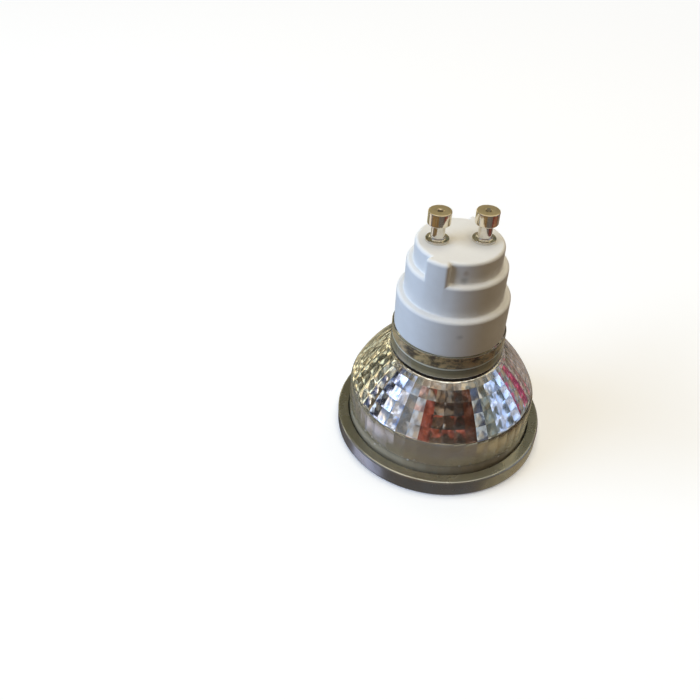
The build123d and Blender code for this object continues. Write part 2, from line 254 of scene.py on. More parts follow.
def arc_between(start, end, bulge, steps):
    """Points of an arc from start to end that bulges to the left of its chord, both ends left out."""
    chord = Vector(end) - Vector(start)
    half = chord.length / 2
    radius = (half * half + bulge * bulge) / (2 * bulge)
    side = Vector((-chord.y, chord.x)).normalized()
    centre = (Vector(start) + Vector(end)) / 2 - side * (radius - bulge)
    half_angle = math.asin(half / radius)
    along = chord.normalized()
    points = []
    for step in range(1, steps):
        angle = half_angle * (2 * step / steps - 1)
        points.append(centre + radius * (math.sin(angle) * along + math.cos(angle) * side))
    return [(point.x, point.y) for point in points]


def put_in_place(piece, node, slot, *materials):
    """Lets a piece stand for its node, ride with the lamp and take its finish."""
    for material in materials:
        piece.data.materials.append(material)
    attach(piece, "root")
    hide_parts(node)


# Outer pieces

def model_ring():
    """Spun channel: two rounded beads with a trough between them in front, a wall and a rear lip."""
    outside = ring_high.x
    window = outside - RING_FACE_WIDTH
    channel = outside - RING_WALL
    flange_back = ring_high.z - REAR_LIP
    rear_lip = BARREL_RADIUS + REAR_LIP_GAP
    corners = (
        (window, lens_low.z),
        (window, ring_low.z, BEAD_ROUND),
        (window + INNER_BEAD, ring_low.z, BEAD_ROUND),
        (window + INNER_BEAD, TROUGH_DEPTH),
        (outside - OUTER_BEAD, TROUGH_DEPTH),
        (outside - OUTER_BEAD, ring_low.z, BEAD_ROUND),
        (outside, ring_low.z, RING_FRONT_ROUND),
        (outside, ring_high.z, RING_REAR_ROUND),
        (rear_lip, ring_high.z),
        (rear_lip, flange_back),
        (channel, flange_back),
        (channel, lens_low.z),
        (window, lens_low.z),
    )
    return turned_piece("spun_ring", corners, SMOOTH_STEPS)


def model_lens():
    """Flat disc with ground edges."""
    corners = (
        (0, lens_low.z),
        (lens_high.x - LENS_EDGE, lens_low.z),
        (lens_high.x, lens_low.z + LENS_EDGE),
        (lens_high.x, lens_high.z - LENS_EDGE),
        (lens_high.x - LENS_EDGE, lens_high.z),
        (0, lens_high.z),
    )
    return turned_piece("lens_disc", corners, SMOOTH_STEPS)


def mirror_outline(shoulder, neck_base):
    """Corner radius and height of each line between two rows of facets, from the rim up the bore."""
    rim = BARREL_RADIUS - BARREL_WALL
    edge = shoulder - MIRROR_EDGE_DROP
    apex = neck_base + MIRROR_APEX_RISE
    rise = (apex - edge) / (rim ** 2 - BORE_RADIUS ** 2)
    row_step = (rim - BORE_RADIUS) / (FACET_ROWS - LAST_ROW_CUT)
    flats = [(rim, bowl_low.z)]
    for row in range(FACET_ROWS):
        radius = rim - row * row_step
        flats.append((radius, edge + rise * (rim ** 2 - radius ** 2)))
    flats += [(BORE_RADIUS, apex), (BORE_RADIUS, bowl_high.z)]
    to_corner = 1 / math.cos(math.pi / FACETS_AROUND)
    return [(radius * to_corner, height) for radius, height in flats]


def model_bowl(glass, mirror):
    """Pressed bowl: smooth outer glass, and flat mirror facets inside, closed at the rim and the boss."""
    flange_back = bowl_low.z + FLANGE_THICKNESS
    shoulder = flange_back + BARREL_HEIGHT
    neck_base = shoulder + DOME_HEIGHT
    neck_top = cap_low.z
    dome = arc_between((BARREL_RADIUS, shoulder), (NECK_RADIUS, neck_base), -DOME_BULGE, DOME_STEPS)
    corners = [
        (bowl_high.x, bowl_low.z),
        (bowl_high.x, flange_back),
        (BARREL_RADIUS, flange_back),
        (BARREL_RADIUS, shoulder, SHOULDER_ROUND),
        *dome,
        (NECK_RADIUS, neck_base, NECK_ROOT_ROUND),
        (NECK_RADIUS, neck_top, NECK_EDGE_ROUND),
        (BOSS_RADIUS, neck_top),
        (BOSS_RADIUS, bowl_high.z),
    ]
    outer = spun_piece("pressed_bowl", corners, SMOOTH_STEPS)
    smooth_shading()
    outer.data.materials.append(glass)
    inner = spun_piece("mirror_facets", mirror_outline(shoulder, neck_base), FACETS_AROUND)
    inner.data.materials.append(mirror)

    bpy.ops.object.select_all(action="DESELECT")
    inner.select_set(True)
    outer.select_set(True)
    bpy.context.view_layer.objects.active = outer
    bpy.ops.object.join()
    bpy.ops.object.mode_set(mode="EDIT")
    for height in (bowl_low.z, bowl_high.z):
        close_ring(outer, height)
    close_seams()
    bpy.ops.object.mode_set(mode="OBJECT")
    return outer


def close_ring(piece, height):
    """Fills the flat ring between the two open loops of the mesh at one height."""
    bpy.ops.mesh.select_mode(type="EDGE")
    bpy.ops.mesh.select_all(action="DESELECT")
    mesh = bmesh.from_edit_mesh(piece.data)
    for edge in mesh.edges:
        level = all(abs(point.co.z - height) < NEAR for point in edge.verts)
        edge.select_set(level and edge.is_boundary)
    bmesh.update_edit_mesh(piece.data)
    bpy.ops.mesh.fill()


def model_cap():
    """Stepped cap, spun in four stretches so that the two lugs stand out of its top step, then softened."""
    lower = cap_high.x
    middle = lower - CAP_STEPS[0]
    upper = middle - CAP_STEPS[1]
    low_shelf = cap_low.z + CAP_HEIGHTS[0]
    high_shelf = low_shelf + CAP_HEIGHTS[1]
    plate = cap_high.z - CAP_PLATE
    bore = lower - CAP_WALLS[0]
    upper_bore = middle - CAP_WALLS[1]
    bore_end = cement_top + BOSS_HEADROOM
    inside = [
        (0, plate),
        (upper_bore, plate),
        (upper_bore, bore_end),
        (bore, bore_end),
        (bore, cap_low.z),
        (lower, cap_low.z),
        (lower, low_shelf),
        (middle, low_shelf),
        (middle, high_shelf),
    ]
    top_step = [(upper, high_shelf), (upper, cap_high.z), (0, cap_high.z)]
    lug_step = [(middle, cap_high.z), (upper, cap_high.z), (0, cap_high.z)]
    piece = open_piece("stepped_cap")
    first = True
    for lug in LUG_AZIMUTHS:
        stretches = (
            (inside + lug_step, lug - LUG_HALF, 2 * LUG_HALF, LUG_STEPS),
            (inside + top_step, lug + LUG_HALF, math.pi - 2 * LUG_HALF, PLAIN_STEPS),
        )
        for corners, start, sweep, steps in stretches:
            if not first:
                start_point()
            first = False
            draw_outline(corners, start)
            bpy.ops.mesh.select_linked()
            spin_outline(steps, sweep)
    bpy.ops.mesh.select_all(action="SELECT")
    bpy.ops.mesh.remove_doubles(threshold=NEAR)
    fill_lug_sides()
    close_seams()
    weigh_edges(piece, bore, plate)
    bpy.ops.object.mode_set(mode="OBJECT")
    soften(piece)
    flatten_top(piece)
    for x in (pin_offset, -pin_offset):
        drill(piece, x, plate)
    smooth_shading()
    even_shading(piece)
    return piece


def fill_lug_sides():
    """Fills the four open sides of the lugs, each with one face."""
    bpy.ops.mesh.select_mode(type="EDGE")
    bpy.ops.mesh.select_all(action="DESELECT")
    bpy.ops.mesh.select_non_manifold()
    bpy.ops.mesh.fill_holes(sides=4)


def weigh_edges(piece, bore, plate):
    """Weights the cap's outer edges for the bevel: full on rims, less on lugs, the foot and in hollows."""
    mesh = bmesh.from_edit_mesh(piece.data)
    layer = mesh.edges.layers.float.new("bevel_weight_edge")
    for edge in mesh.edges:
        ends = [point.co for point in edge.verts]
        hidden = all(end.xy.length < bore + NEAR and end.z < plate + NEAR for end in ends)
        if hidden or edge.calc_face_angle(0) < SMOOTH_ANGLE:
            continue
        if not edge.is_convex:
            edge[layer] = HOLLOW_SHARE
        elif max(end.z for end in ends) < cap_low.z + NEAR:
            edge[layer] = FOOT_SHARE
        elif abs(ends[0].z - ends[1].z) > NEAR:
            edge[layer] = LUG_SHARE
        else:
            edge[layer] = 1
    bmesh.update_edit_mesh(piece.data)


def soften(piece):
    """Rounds the weighted edges."""
    bevel = piece.modifiers.new("soft edges", "BEVEL")
    bevel.limit_method = "WEIGHT"
    bevel.width = CAP_EDGE_ROUND
    bevel.segments = CORNER_STEPS
    bpy.ops.object.modifier_apply(modifier=bevel.name)


def flatten_top(piece):
    """Makes one flat face of the wedges that the spin left on the cap's top."""
    bpy.ops.object.mode_set(mode="EDIT")
    bpy.ops.mesh.select_mode(type="FACE")
    bpy.ops.mesh.select_all(action="DESELECT")
    mesh = bmesh.from_edit_mesh(piece.data)
    for face in mesh.faces:
        face.select_set(all(point.co.z > cap_high.z - NEAR for point in face.verts))
    bmesh.update_edit_mesh(piece.data)
    bpy.ops.mesh.dissolve_faces()
    bpy.ops.object.mode_set(mode="OBJECT")


def drill(piece, x, plate):
    """Drills a pin hole through the cap's plate."""
    depth = cap_high.z - plate
    bpy.ops.object.select_all(action="DESELECT")
    bpy.ops.mesh.primitive_cylinder_add(
        vertices=PIN_STEPS, radius=PIN_HOLE_RADIUS, depth=2 * depth, location=(x, 0, plate + depth / 2)
    )
    cutter = bpy.context.object
    bpy.context.view_layer.objects.active = piece
    piece.select_set(True)
    hole = piece.modifiers.new("pin hole", "BOOLEAN")
    hole.operation = "DIFFERENCE"
    hole.object = cutter
    bpy.ops.object.modifier_apply(modifier=hole.name)
    bpy.data.objects.remove(cutter)


def model_pins():
    """Turned pins: the left one is modelled and the right one is its copy."""
    top = pin_high.z
    face = top - PIN_LENGTH
    collar_top = face + PIN_COLLAR_THICKNESS
    flare_top = pin_low.z + PIN_FLARE_THICKNESS
    head_under = top - PIN_HEAD_HEIGHT
    corners = (
        (PIN_BORE_RADIUS, pin_low.z),
        (PIN_FLARE_RADIUS, pin_low.z),
        (PIN_FLARE_RADIUS, flare_top),
        (PIN_NECK_RADIUS, flare_top),
        (PIN_NECK_RADIUS, face),
        (PIN_COLLAR_RADIUS, face),
        (PIN_COLLAR_RADIUS, collar_top, PIN_COLLAR_ROUND),
        (PIN_NECK_RADIUS, collar_top, PIN_ROOT_ROUND),
        (PIN_NECK_RADIUS, head_under),
        (PIN_HEAD_RADIUS, head_under, PIN_HEAD_ROUND),
        (PIN_HEAD_RADIUS, top, PIN_HEAD_ROUND),
        (PIN_BORE_RADIUS + PIN_MOUTH, top),
        (PIN_BORE_RADIUS, top - PIN_MOUTH),
        (PIN_BORE_RADIUS, pin_low.z),
    )
    left = turned_piece("turned_pin_left", corners, PIN_STEPS)
    bpy.ops.object.duplicate(linked=False)
    right = bpy.context.object
    right.name = "turned_pin_right"
    right.data.name = right.name
    for piece, side in ((left, -1), (right, 1)):
        move_points(piece, (side * pin_offset, 0, 0))
    return left, right


def move_points(piece, step):
    """Moves a piece inside its own mesh, so that its object stays at the origin."""
    bpy.ops.object.select_all(action="DESELECT")
    piece.select_set(True)
    bpy.context.view_layer.objects.active = piece
    bpy.ops.object.mode_set(mode="EDIT")
    bpy.ops.mesh.select_all(action="SELECT")
    bpy.ops.transform.translate(value=step)
    bpy.ops.object.mode_set(mode="OBJECT")


# Shader nodes

def fill_sockets(node, inputs):
    """Sets a node's inputs, and links those that are given as another node's output."""
    for name, value in inputs.items():
        if isinstance(value, bpy.types.NodeSocket):
            node.id_data.links.new(value, node.inputs[name])
        else:
            node.inputs[name].default_value = value


def add_node(tree, kind, inputs, **settings):
    """Adds a node, sets its options and fills its inputs."""
    node = tree.nodes.new(kind)
    for name, value in settings.items():
        setattr(node, name, value)
    fill_sockets(node, inputs)
    return node


def maths(tree, operation, *values):
    """Result of a maths node on the given values."""
    return add_node(tree, "ShaderNodeMath", dict(enumerate(values)), operation=operation).outputs["Value"]


def vector_maths(tree, operation, *values):
    """Result of a vector maths node on the given values."""
    node = add_node(tree, "ShaderNodeVectorMath", dict(enumerate(values)), operation=operation)
    return node.outputs["Value" if operation == "LENGTH" else "Vector"]


def split(tree, vector):
    """The X, Y and Z of a vector."""
    return add_node(tree, "ShaderNodeSeparateXYZ", {"Vector": vector}).outputs


def combine(tree, **parts):
    """Vector made of the parts that are given."""
    return add_node(tree, "ShaderNodeCombineXYZ", parts).outputs["Vector"]


def fade(tree, value, start, full, shape="LINEAR"):
    """Mask that runs from 0 at the start value to 1 at the full one."""
    inputs = {"Value": value, "From Min": start, "From Max": full}
    return add_node(tree, "ShaderNodeMapRange", inputs, interpolation_type=shape).outputs["Result"]


def between(tree, mask, low, high):
    """Value that runs from low to high with a mask."""
    inputs = {"Value": mask, "To Min": low, "To Max": high}
    return add_node(tree, "ShaderNodeMapRange", inputs).outputs["Result"]


def two_tones(tree, mask, first, second):
    """Colour that runs from the first tone to the second with a mask: each is a tone or a node's output."""
    mix = add_node(tree, "ShaderNodeMix", {"Factor": mask}, data_type="RGBA")
    for name, tone in (("A", first), ("B", second)):
        fill_sockets(mix, {name: (*tone, 1) if isinstance(tone, tuple) else tone})
    return mix.outputs["Result"]


def noise(tree, vector, scale, detail):
    """Height and colour of a noise."""
    inputs = {"Vector": vector, "Scale": scale, "Detail": detail}
    return add_node(tree, "ShaderNodeTexNoise", inputs).outputs


def jitter(tree, place, scale, detail, reach):
    """Coordinates that a noise shifts to and fro."""
    shift = vector_maths(tree, "SUBTRACT", noise(tree, place, scale, detail)["Color"], (0.5, 0.5, 0.5))
    return vector_maths(tree, "MULTIPLY_ADD", shift, (reach, reach, reach), place)


def cells(tree, vector, scale):
    """Distance from the middle of each cell, and the cell's own random colour in parts."""
    made = add_node(tree, "ShaderNodeTexVoronoi", {"Vector": vector, "Scale": scale}).outputs
    draw = add_node(tree, "ShaderNodeSeparateColor", {"Color": made["Color"]}).outputs
    return made["Distance"], draw


def new_group(name, inputs, outputs):
    """A shader node group with named sockets: returns the tree, what it is given and its output node."""
    tree = bpy.data.node_groups.new(name, "ShaderNodeTree")
    for socket, kind, value in inputs:
        made = tree.interface.new_socket(socket, in_out="INPUT", socket_type=kind)
        if value is not None:
            made.default_value = value
    for socket, kind in outputs:
        tree.interface.new_socket(socket, in_out="OUTPUT", socket_type=kind)
    return tree, tree.nodes.new("NodeGroupInput").outputs, tree.nodes.new("NodeGroupOutput")


def place_group(tree, group, inputs):
    """A group placed in a material or in the world."""
    return add_node(tree, "ShaderNodeGroup", inputs, node_tree=group)


def smudge_group():
    """Cloudy mask: soft patches broken up by finer ones."""
    tree, given, result = new_group(
        "smudges",
        (("Vector", "NodeSocketVector", None), ("Scale", "NodeSocketFloat", 300.0),
         ("Low", "NodeSocketFloat", 0.4), ("High", "NodeSocketFloat", 0.7)),
        (("Mask", "NodeSocketFloat"),),
    )
    patches = add_node(tree, "ShaderNodeTexNoise",
                       {"Vector": given["Vector"], "Scale": given["Scale"], "Detail": 5.0, "Roughness": 0.6})
    mask = fade(tree, patches.outputs["Fac"], given["Low"], given["High"], "SMOOTHSTEP")
    fill_sockets(result, {"Mask": mask})
    return tree


def lathe_group():
    """Fine rings left by turning or spinning, round the axis of the given coordinates."""
    tree, given, result = new_group(
        "lathe_rings",
        (("Vector", "NodeSocketVector", None), ("Scale", "NodeSocketFloat", 6000.0)),
        (("Height", "NodeSocketFloat"),),
    )
    parts = split(tree, given["Vector"])
    radius = vector_maths(tree, "LENGTH", combine(tree, X=parts["X"], Y=parts["Y"]))
    rings = noise(tree, combine(tree, X=radius, Y=parts["Z"]), given["Scale"], 3.0)
    fill_sockets(result, {"Height": rings["Fac"]})
    return tree


def spot_group():
    """Soft-edged spot round a point, drawn out or pressed flat along its height."""
    tree, given, result = new_group(
        "spot",
        (("Vector", "NodeSocketVector", None), ("Centre", "NodeSocketVector", None),
         ("Radius", "NodeSocketFloat", 0.001), ("Height Share", "NodeSocketFloat", 1.0)),
        (("Mask", "NodeSocketFloat"),),
    )
    parts = split(tree, vector_maths(tree, "SUBTRACT", given["Vector"], given["Centre"]))
    tall = maths(tree, "DIVIDE", parts["Z"], given["Height Share"])
    reach = vector_maths(tree, "LENGTH", combine(tree, X=parts["X"], Y=parts["Y"], Z=tall))
    fill_sockets(result, {"Mask": fade(tree, reach, given["Radius"], 0.0, "SMOOTHSTEP")})
    return tree


SMUDGES = smudge_group()
LATHE_RINGS = lathe_group()
SPOT = spot_group()


def smudge_mask(tree, place, scale, low, high):
    """Mask of smudges at one scale."""
    inputs = {"Vector": place, "Scale": scale, "Low": low, "High": high}
    return place_group(tree, SMUDGES, inputs).outputs["Mask"]


def lathe_rings(tree, place, scale):
    """Height of the rings that turning leaves, at one scale."""
    return place_group(tree, LATHE_RINGS, {"Vector": place, "Scale": scale}).outputs["Height"]


# Finishes

# Place, radius, height share, tone and strength of each mark on the cap, and the raggedness of their edges
CAP_MARKS = (
    ((-0.1 * MM, -9.65 * MM, 51.5 * MM), 1.0 * MM, 1.2, (0.36, 0.27, 0.16), 0.45),
    ((-0.25 * MM, -9.65 * MM, 49.8 * MM), 1.2 * MM, 1.0, (0.2, 0.21, 0.18), 0.5),
    ((-0.25 * MM, -12.75 * MM, 37.3 * MM), 1.1 * MM, 0.8, (0.3, 0.3, 0.28), 0.4),
)
MARK_RAGGEDNESS = 0.6 * MM

# Bands of the mirror's coating: lowest and highest place, and the softness of both ends
BARREL_BAND = (bowl_low.z, 12.0 * MM, 0.6 * MM)
FOOT_BAND = (3.8 * MM, 5.0 * MM, 2.0 * MM)
# Band of pale specks low on the barrel: painted glints
SPECK_BAND = (5.6 * MM, 6.6 * MM, 0.8 * MM)
NECK_BAND = (24.7 * MM, bowl_high.z, 0.3 * MM)
# Thin pale band round the neck: a painted highlight that stands in for a glint in the glass
GLINT_LINE_BAND = (26.0 * MM, 26.1 * MM, 0.12 * MM)
# Upper part of the neck: painted reflection, in dark and golden patches
BORE_BAND = (26.3 * MM, bowl_high.z, 0.15 * MM)

# Heights where the pins' heads turn warm and where their flats turn to brass, from none to full
WARM_HEAD = (pin_high.z - 3.1 * MM, pin_high.z - 2.6 * MM)
BRASS_FLAT = (pin_high.z - 0.2 * MM, pin_high.z - 0.05 * MM)

# Painted glints as specks in the coating: the share of its cell over which a speck fades, and the draw that a
# cell needs for one
SPECK_EDGE = (0.3, 0.15)
SPECK_DRAW = (0.45, 0.5)

# Levels of the lathe rings where the neck's coating is thinnest and thickest
STREAK_LEVELS = (0.35, 0.65)

# Share of its tint that glass keeps under a smear
SMEARED_TINT = 0.97

# Roughness that oxide adds to wire and foil, and clouding to dense ceramic
OXIDE_ROUGHNESS = 0.2
CLOUD_ROUGHNESS = 0.15


def new_material(name):
    """A new node material: returns it with its tree, its shader and its object coordinates."""
    material = bpy.data.materials.new(name)
    material.use_nodes = True
    tree = material.node_tree
    shader = tree.nodes["Principled BSDF"]
    place = tree.nodes.new("ShaderNodeTexCoord").outputs["Object"]
    return material, tree, shader, place


def bump(tree, shader, height, strength, distance):
    """Gives a finish fine relief."""
    made = add_node(tree, "ShaderNodeBump", {"Height": height, "Strength": strength, "Distance": distance})
    fill_sockets(shader, {"Normal": made.outputs["Normal"]})


def patchy(tree, shader, mask, tones, roughness):
    """Lets a finish's colour and roughness change together with a mask."""
    colour = two_tones(tree, mask, *tones)
    fill_sockets(shader, {"Base Color": colour, "Roughness": between(tree, mask, *roughness)})


def ceramic_finish():
    """Pressed white ceramic: fine grain, faint clouding, and small soft marks of dirt in front."""
    material, tree, shader, place = new_material("pressed_ceramic")
    clouds = smudge_mask(tree, place, scale=160.0, low=0.35, high=0.7)
    colour = two_tones(tree, clouds, (0.86, 0.845, 0.8), (0.82, 0.8, 0.75))
    ragged = jitter(tree, place, scale=500.0, detail=2.0, reach=MARK_RAGGEDNESS)
    for centre, radius, share, tone, strength in CAP_MARKS:
        spot = place_group(tree, SPOT, {"Vector": ragged, "Centre": centre,
                                        "Radius": radius, "Height Share": share})
        colour = two_tones(tree, between(tree, spot.outputs["Mask"], 0.0, strength), colour, tone)
    fill_sockets(shader, {"Base Color": colour, "Roughness": between(tree, clouds, 0.38, 0.52)})
    grain = noise(tree, place, scale=5000.0, detail=3.0)
    bump(tree, shader, grain["Fac"], strength=0.12, distance=0.05 * MM)
    return material


def ring_finish():
    """Spun aluminium: bright satin with fine rings and handling smudges."""
    material, tree, shader, place = new_material("spun_aluminium")
    smudges = smudge_mask(tree, place, scale=120.0, low=0.4, high=0.75)
    tones = ((0.46, 0.47, 0.435), (0.37, 0.375, 0.33))
    patchy(tree, shader, smudges, tones, roughness=(0.22, 0.34))
    fill_sockets(shader, {"Metallic": 1.0})
    bump(tree, shader, lathe_rings(tree, place, scale=9000.0), strength=0.06, distance=0.02 * MM)
    return material


def clear_glass(name, tint, ior):
    """Clear glass with faint smears in its polish, which lets light through to what lies behind it."""
    material, tree, shader, place = new_material(name)
    smears = smudge_mask(tree, place, scale=200.0, low=0.5, high=0.8)
    smeared = tuple(SMEARED_TINT * part for part in tint)
    patchy(tree, shader, smears, tones=(tint, smeared), roughness=(0.0, 0.03))
    fill_sockets(shader, {"Transmission Weight": 1.0, "IOR": ior})
    rays = tree.nodes.new("ShaderNodeLightPath")
    clear = add_node(tree, "ShaderNodeBsdfTransparent", {"Color": (*tint, 1)})
    lit = add_node(tree, "ShaderNodeMixShader", {"Fac": rays.outputs["Is Shadow Ray"],
                                                 1: shader.outputs["BSDF"], 2: clear.outputs["BSDF"]})
    fill_sockets(tree.nodes["Material Output"], {"Surface": lit.outputs["Shader"]})
    return material


def height_band(tree, height, low, high, soft):
    """Mask of a band of heights with soft ends."""
    ends = ((low - soft, low), (high + soft, high))
    masks = [fade(tree, height, start, full, "SMOOTHSTEP") for start, full in ends]
    return maths(tree, "MULTIPLY", *masks)


def speck_mask(tree, place, band):
    """Few tiny pale specks inside a band, painted glints on the coating."""
    distance, draw = cells(tree, place, scale=800.0)
    small = fade(tree, distance, *SPECK_EDGE)
    few = fade(tree, draw["Red"], *SPECK_DRAW)
    return maths(tree, "MULTIPLY", maths(tree, "MULTIPLY", band, small), few)


def add_shares(tree, start, shares):
    """Adds to a value a share of each mask."""
    for mask, share in shares:
        start = maths(tree, "ADD", start, between(tree, mask, 0.0, share))
    return start


def mirror_finish():
    """Evaporated mirror on the facets, satin down the barrel, and thin at the foot and round the neck, with
    painted reflection patches and a painted highlight stripe on the neck and painted glint specks on the
    barrel.
    """
    material, tree, shader, place = new_material("facet_mirror")
    height = split(tree, place)["Z"]
    bands = (BARREL_BAND, FOOT_BAND, NECK_BAND, BORE_BAND, GLINT_LINE_BAND)
    barrel, foot, neck, bore, glint_line = (height_band(tree, height, *band) for band in bands)
    specks = speck_mask(tree, place, height_band(tree, height, *SPECK_BAND))
    patches = smudge_mask(tree, place, scale=260.0, low=0.35, high=0.7)
    # Cloudy mask of the painted reflection patches on the neck
    reflection_patches = smudge_mask(tree, place, scale=330.0, low=0.4, high=0.6)
    thick = fade(tree, lathe_rings(tree, place, scale=1100.0), *STREAK_LEVELS)
    satin = two_tones(tree, patches, (0.8, 0.75, 0.63), (0.7, 0.65, 0.53))
    worn = two_tones(tree, patches, (0.92, 0.78, 0.55), (0.83, 0.69, 0.47))
    thin = two_tones(tree, thick, (0.28, 0.235, 0.14), (0.48, 0.405, 0.25))
    # Painted reflection: dark and golden tones of the neck's upper part
    painted_reflection_tone = two_tones(tree, reflection_patches, (0.16, 0.12, 0.08), (0.84, 0.62, 0.32))
    # Painted highlight: pale tone of the thin stripe round the neck
    edge = two_tones(tree, thick, (0.95, 0.9, 0.74), (1.0, 0.96, 0.82))
    # Painted glints: pale tone of the specks
    glint_speck_tone = two_tones(tree, patches, (0.95, 0.93, 0.88), (0.85, 0.83, 0.78))
    colour = two_tones(tree, patches, (0.88, 0.88, 0.87), (0.82, 0.8, 0.77))
    # Over the coating lie painted reflection patches, a painted highlight stripe and painted glint specks
    tones = ((barrel, satin), (foot, worn), (neck, thin), (bore, painted_reflection_tone), (glint_line, edge), (specks, glint_speck_tone))
    for mask, tone in tones:
        colour = two_tones(tree, mask, colour, tone)
    metal = add_shares(tree, between(tree, neck, 1.0, 0.2), ((barrel, -0.1), (foot, -0.45), (specks, -0.5)))
    spread = add_shares(tree, between(tree, patches, 0.02, 0.06), ((barrel, 0.15), (neck, 0.3)))
    fill_sockets(shader, {"Base Color": colour, "Metallic": metal, "Roughness": spread})
    return material


def cement_finish():
    """Rough off-white cement."""
    material, tree, shader, place = new_material("rough_cement")
    lumps = smudge_mask(tree, place, scale=900.0, low=0.3, high=0.7)
    tones = ((0.8, 0.77, 0.7), (0.66, 0.62, 0.54))
    patchy(tree, shader, lumps, tones, roughness=(0.75, 0.95))
    bump(tree, shader, lumps, strength=0.5, distance=0.1 * MM)
    return material


def pin_finish(name, offset):
    """Bright nickel, warmer on the head and worn to brass on its flat, with lathe rings."""
    material, tree, shader, place = new_material(name)
    centred = add_node(tree, "ShaderNodeMapping", {"Vector": place, "Location": (-offset, 0, 0)})
    axis = centred.outputs["Vector"]
    height = split(tree, axis)["Z"]
    head, flat = (fade(tree, height, *heights) for heights in (WARM_HEAD, BRASS_FLAT))
    smudges = smudge_mask(tree, axis, scale=700.0, low=0.35, high=0.7)
    colour = two_tones(tree, smudges, (0.74, 0.71, 0.64), (0.64, 0.6, 0.52))
    warm = two_tones(tree, smudges, (0.84, 0.76, 0.6), (0.7, 0.62, 0.47))
    brass = two_tones(tree, smudges, (0.96, 0.83, 0.56), (0.84, 0.71, 0.46))
    for mask, tone in ((head, warm), (flat, brass)):
        colour = two_tones(tree, mask, colour, tone)
    fill_sockets(shader, {"Base Color": colour, "Roughness": between(tree, flat, 0.1, 0.4), "Metallic": 1.0})
    bump(tree, shader, lathe_rings(tree, axis, scale=5000.0), strength=0.15, distance=0.02 * MM)
    return material


def wire_finish(name, bright, dull, roughness):
    """Drawn or rolled metal with a dull, patchy oxide."""
    material, tree, shader, place = new_material(name)
    oxide = smudge_mask(tree, place, scale=1200.0, low=0.3, high=0.7)
    patchy(tree, shader, oxide, tones=(bright, dull), roughness=(roughness, roughness + OXIDE_ROUGHNESS))
    fill_sockets(shader, {"Metallic": 1.0})
    return material


def arc_finish(name, light, dark, roughness):
    """Dense sintered or glassy ceramic, faintly clouded."""
    material, tree, shader, place = new_material(name)
    clouds = smudge_mask(tree, place, scale=800.0, low=0.35, high=0.7)
    patchy(tree, shader, clouds, tones=(light, dark), roughness=(roughness, roughness + CLOUD_ROUGHNESS))
    return material


def finish_nodes():
    """Gives every carried-over node its finish."""
    cement = cement_finish()
    lead = wire_finish("drawn_lead", (0.55, 0.53, 0.48), (0.4, 0.37, 0.31), 0.3)
    foil = wire_finish("sealing_foil", (0.5, 0.5, 0.52), (0.4, 0.4, 0.43), 0.3)
    electrode = wire_finish("ground_electrode", (0.42, 0.42, 0.43), (0.3, 0.3, 0.32), 0.35)
    strip = wire_finish("getter_strip", (0.36, 0.36, 0.37), (0.26, 0.26, 0.27), 0.5)
    quartz = clear_glass("fused_quartz", (0.97, 0.98, 0.98), 1.46)
    arc = arc_finish("sintered_alumina", (0.93, 0.92, 0.88), (0.86, 0.84, 0.78), 0.35)
    frit = arc_finish("frit_glass", (0.8, 0.77, 0.68), (0.68, 0.63, 0.52), 0.15)
    finishes = {
        "cap_cement": cement,
        "burner_cement": cement,
        "lead_wire_left": lead,
        "lead_wire_right": lead,
        "return_wire": lead,
        "short_lead": lead,
        "foil_left": foil,
        "foil_right": foil,
        "front_electrode": electrode,
        "rear_electrode": electrode,
        "getter": strip,
        "quartz_jacket": quartz,
        "arc_tube": arc,
        "front_frit_seal": frit,
        "rear_frit_seal": frit,
    }
    for node, finish in finishes.items():
        for slot in frame["nodes"][node].material_slots:
            slot.material = finish


# Studio

# Floor: its paper and glow near the lamp, and how far out it starts and ends to fade into the backdrop
FLOOR_SIZE = 8.0
FLOOR_DROP = 0.02 * MM
FLOOR_PAPER = (0.93, 0.93, 0.92)
FLOOR_GLOW = (0.18, 0.19, 0.21)
FLOOR_FADE = (0.1, 0.6)
PALE = (0.965, 0.965, 0.955)
BLACK = (0, 0, 0)

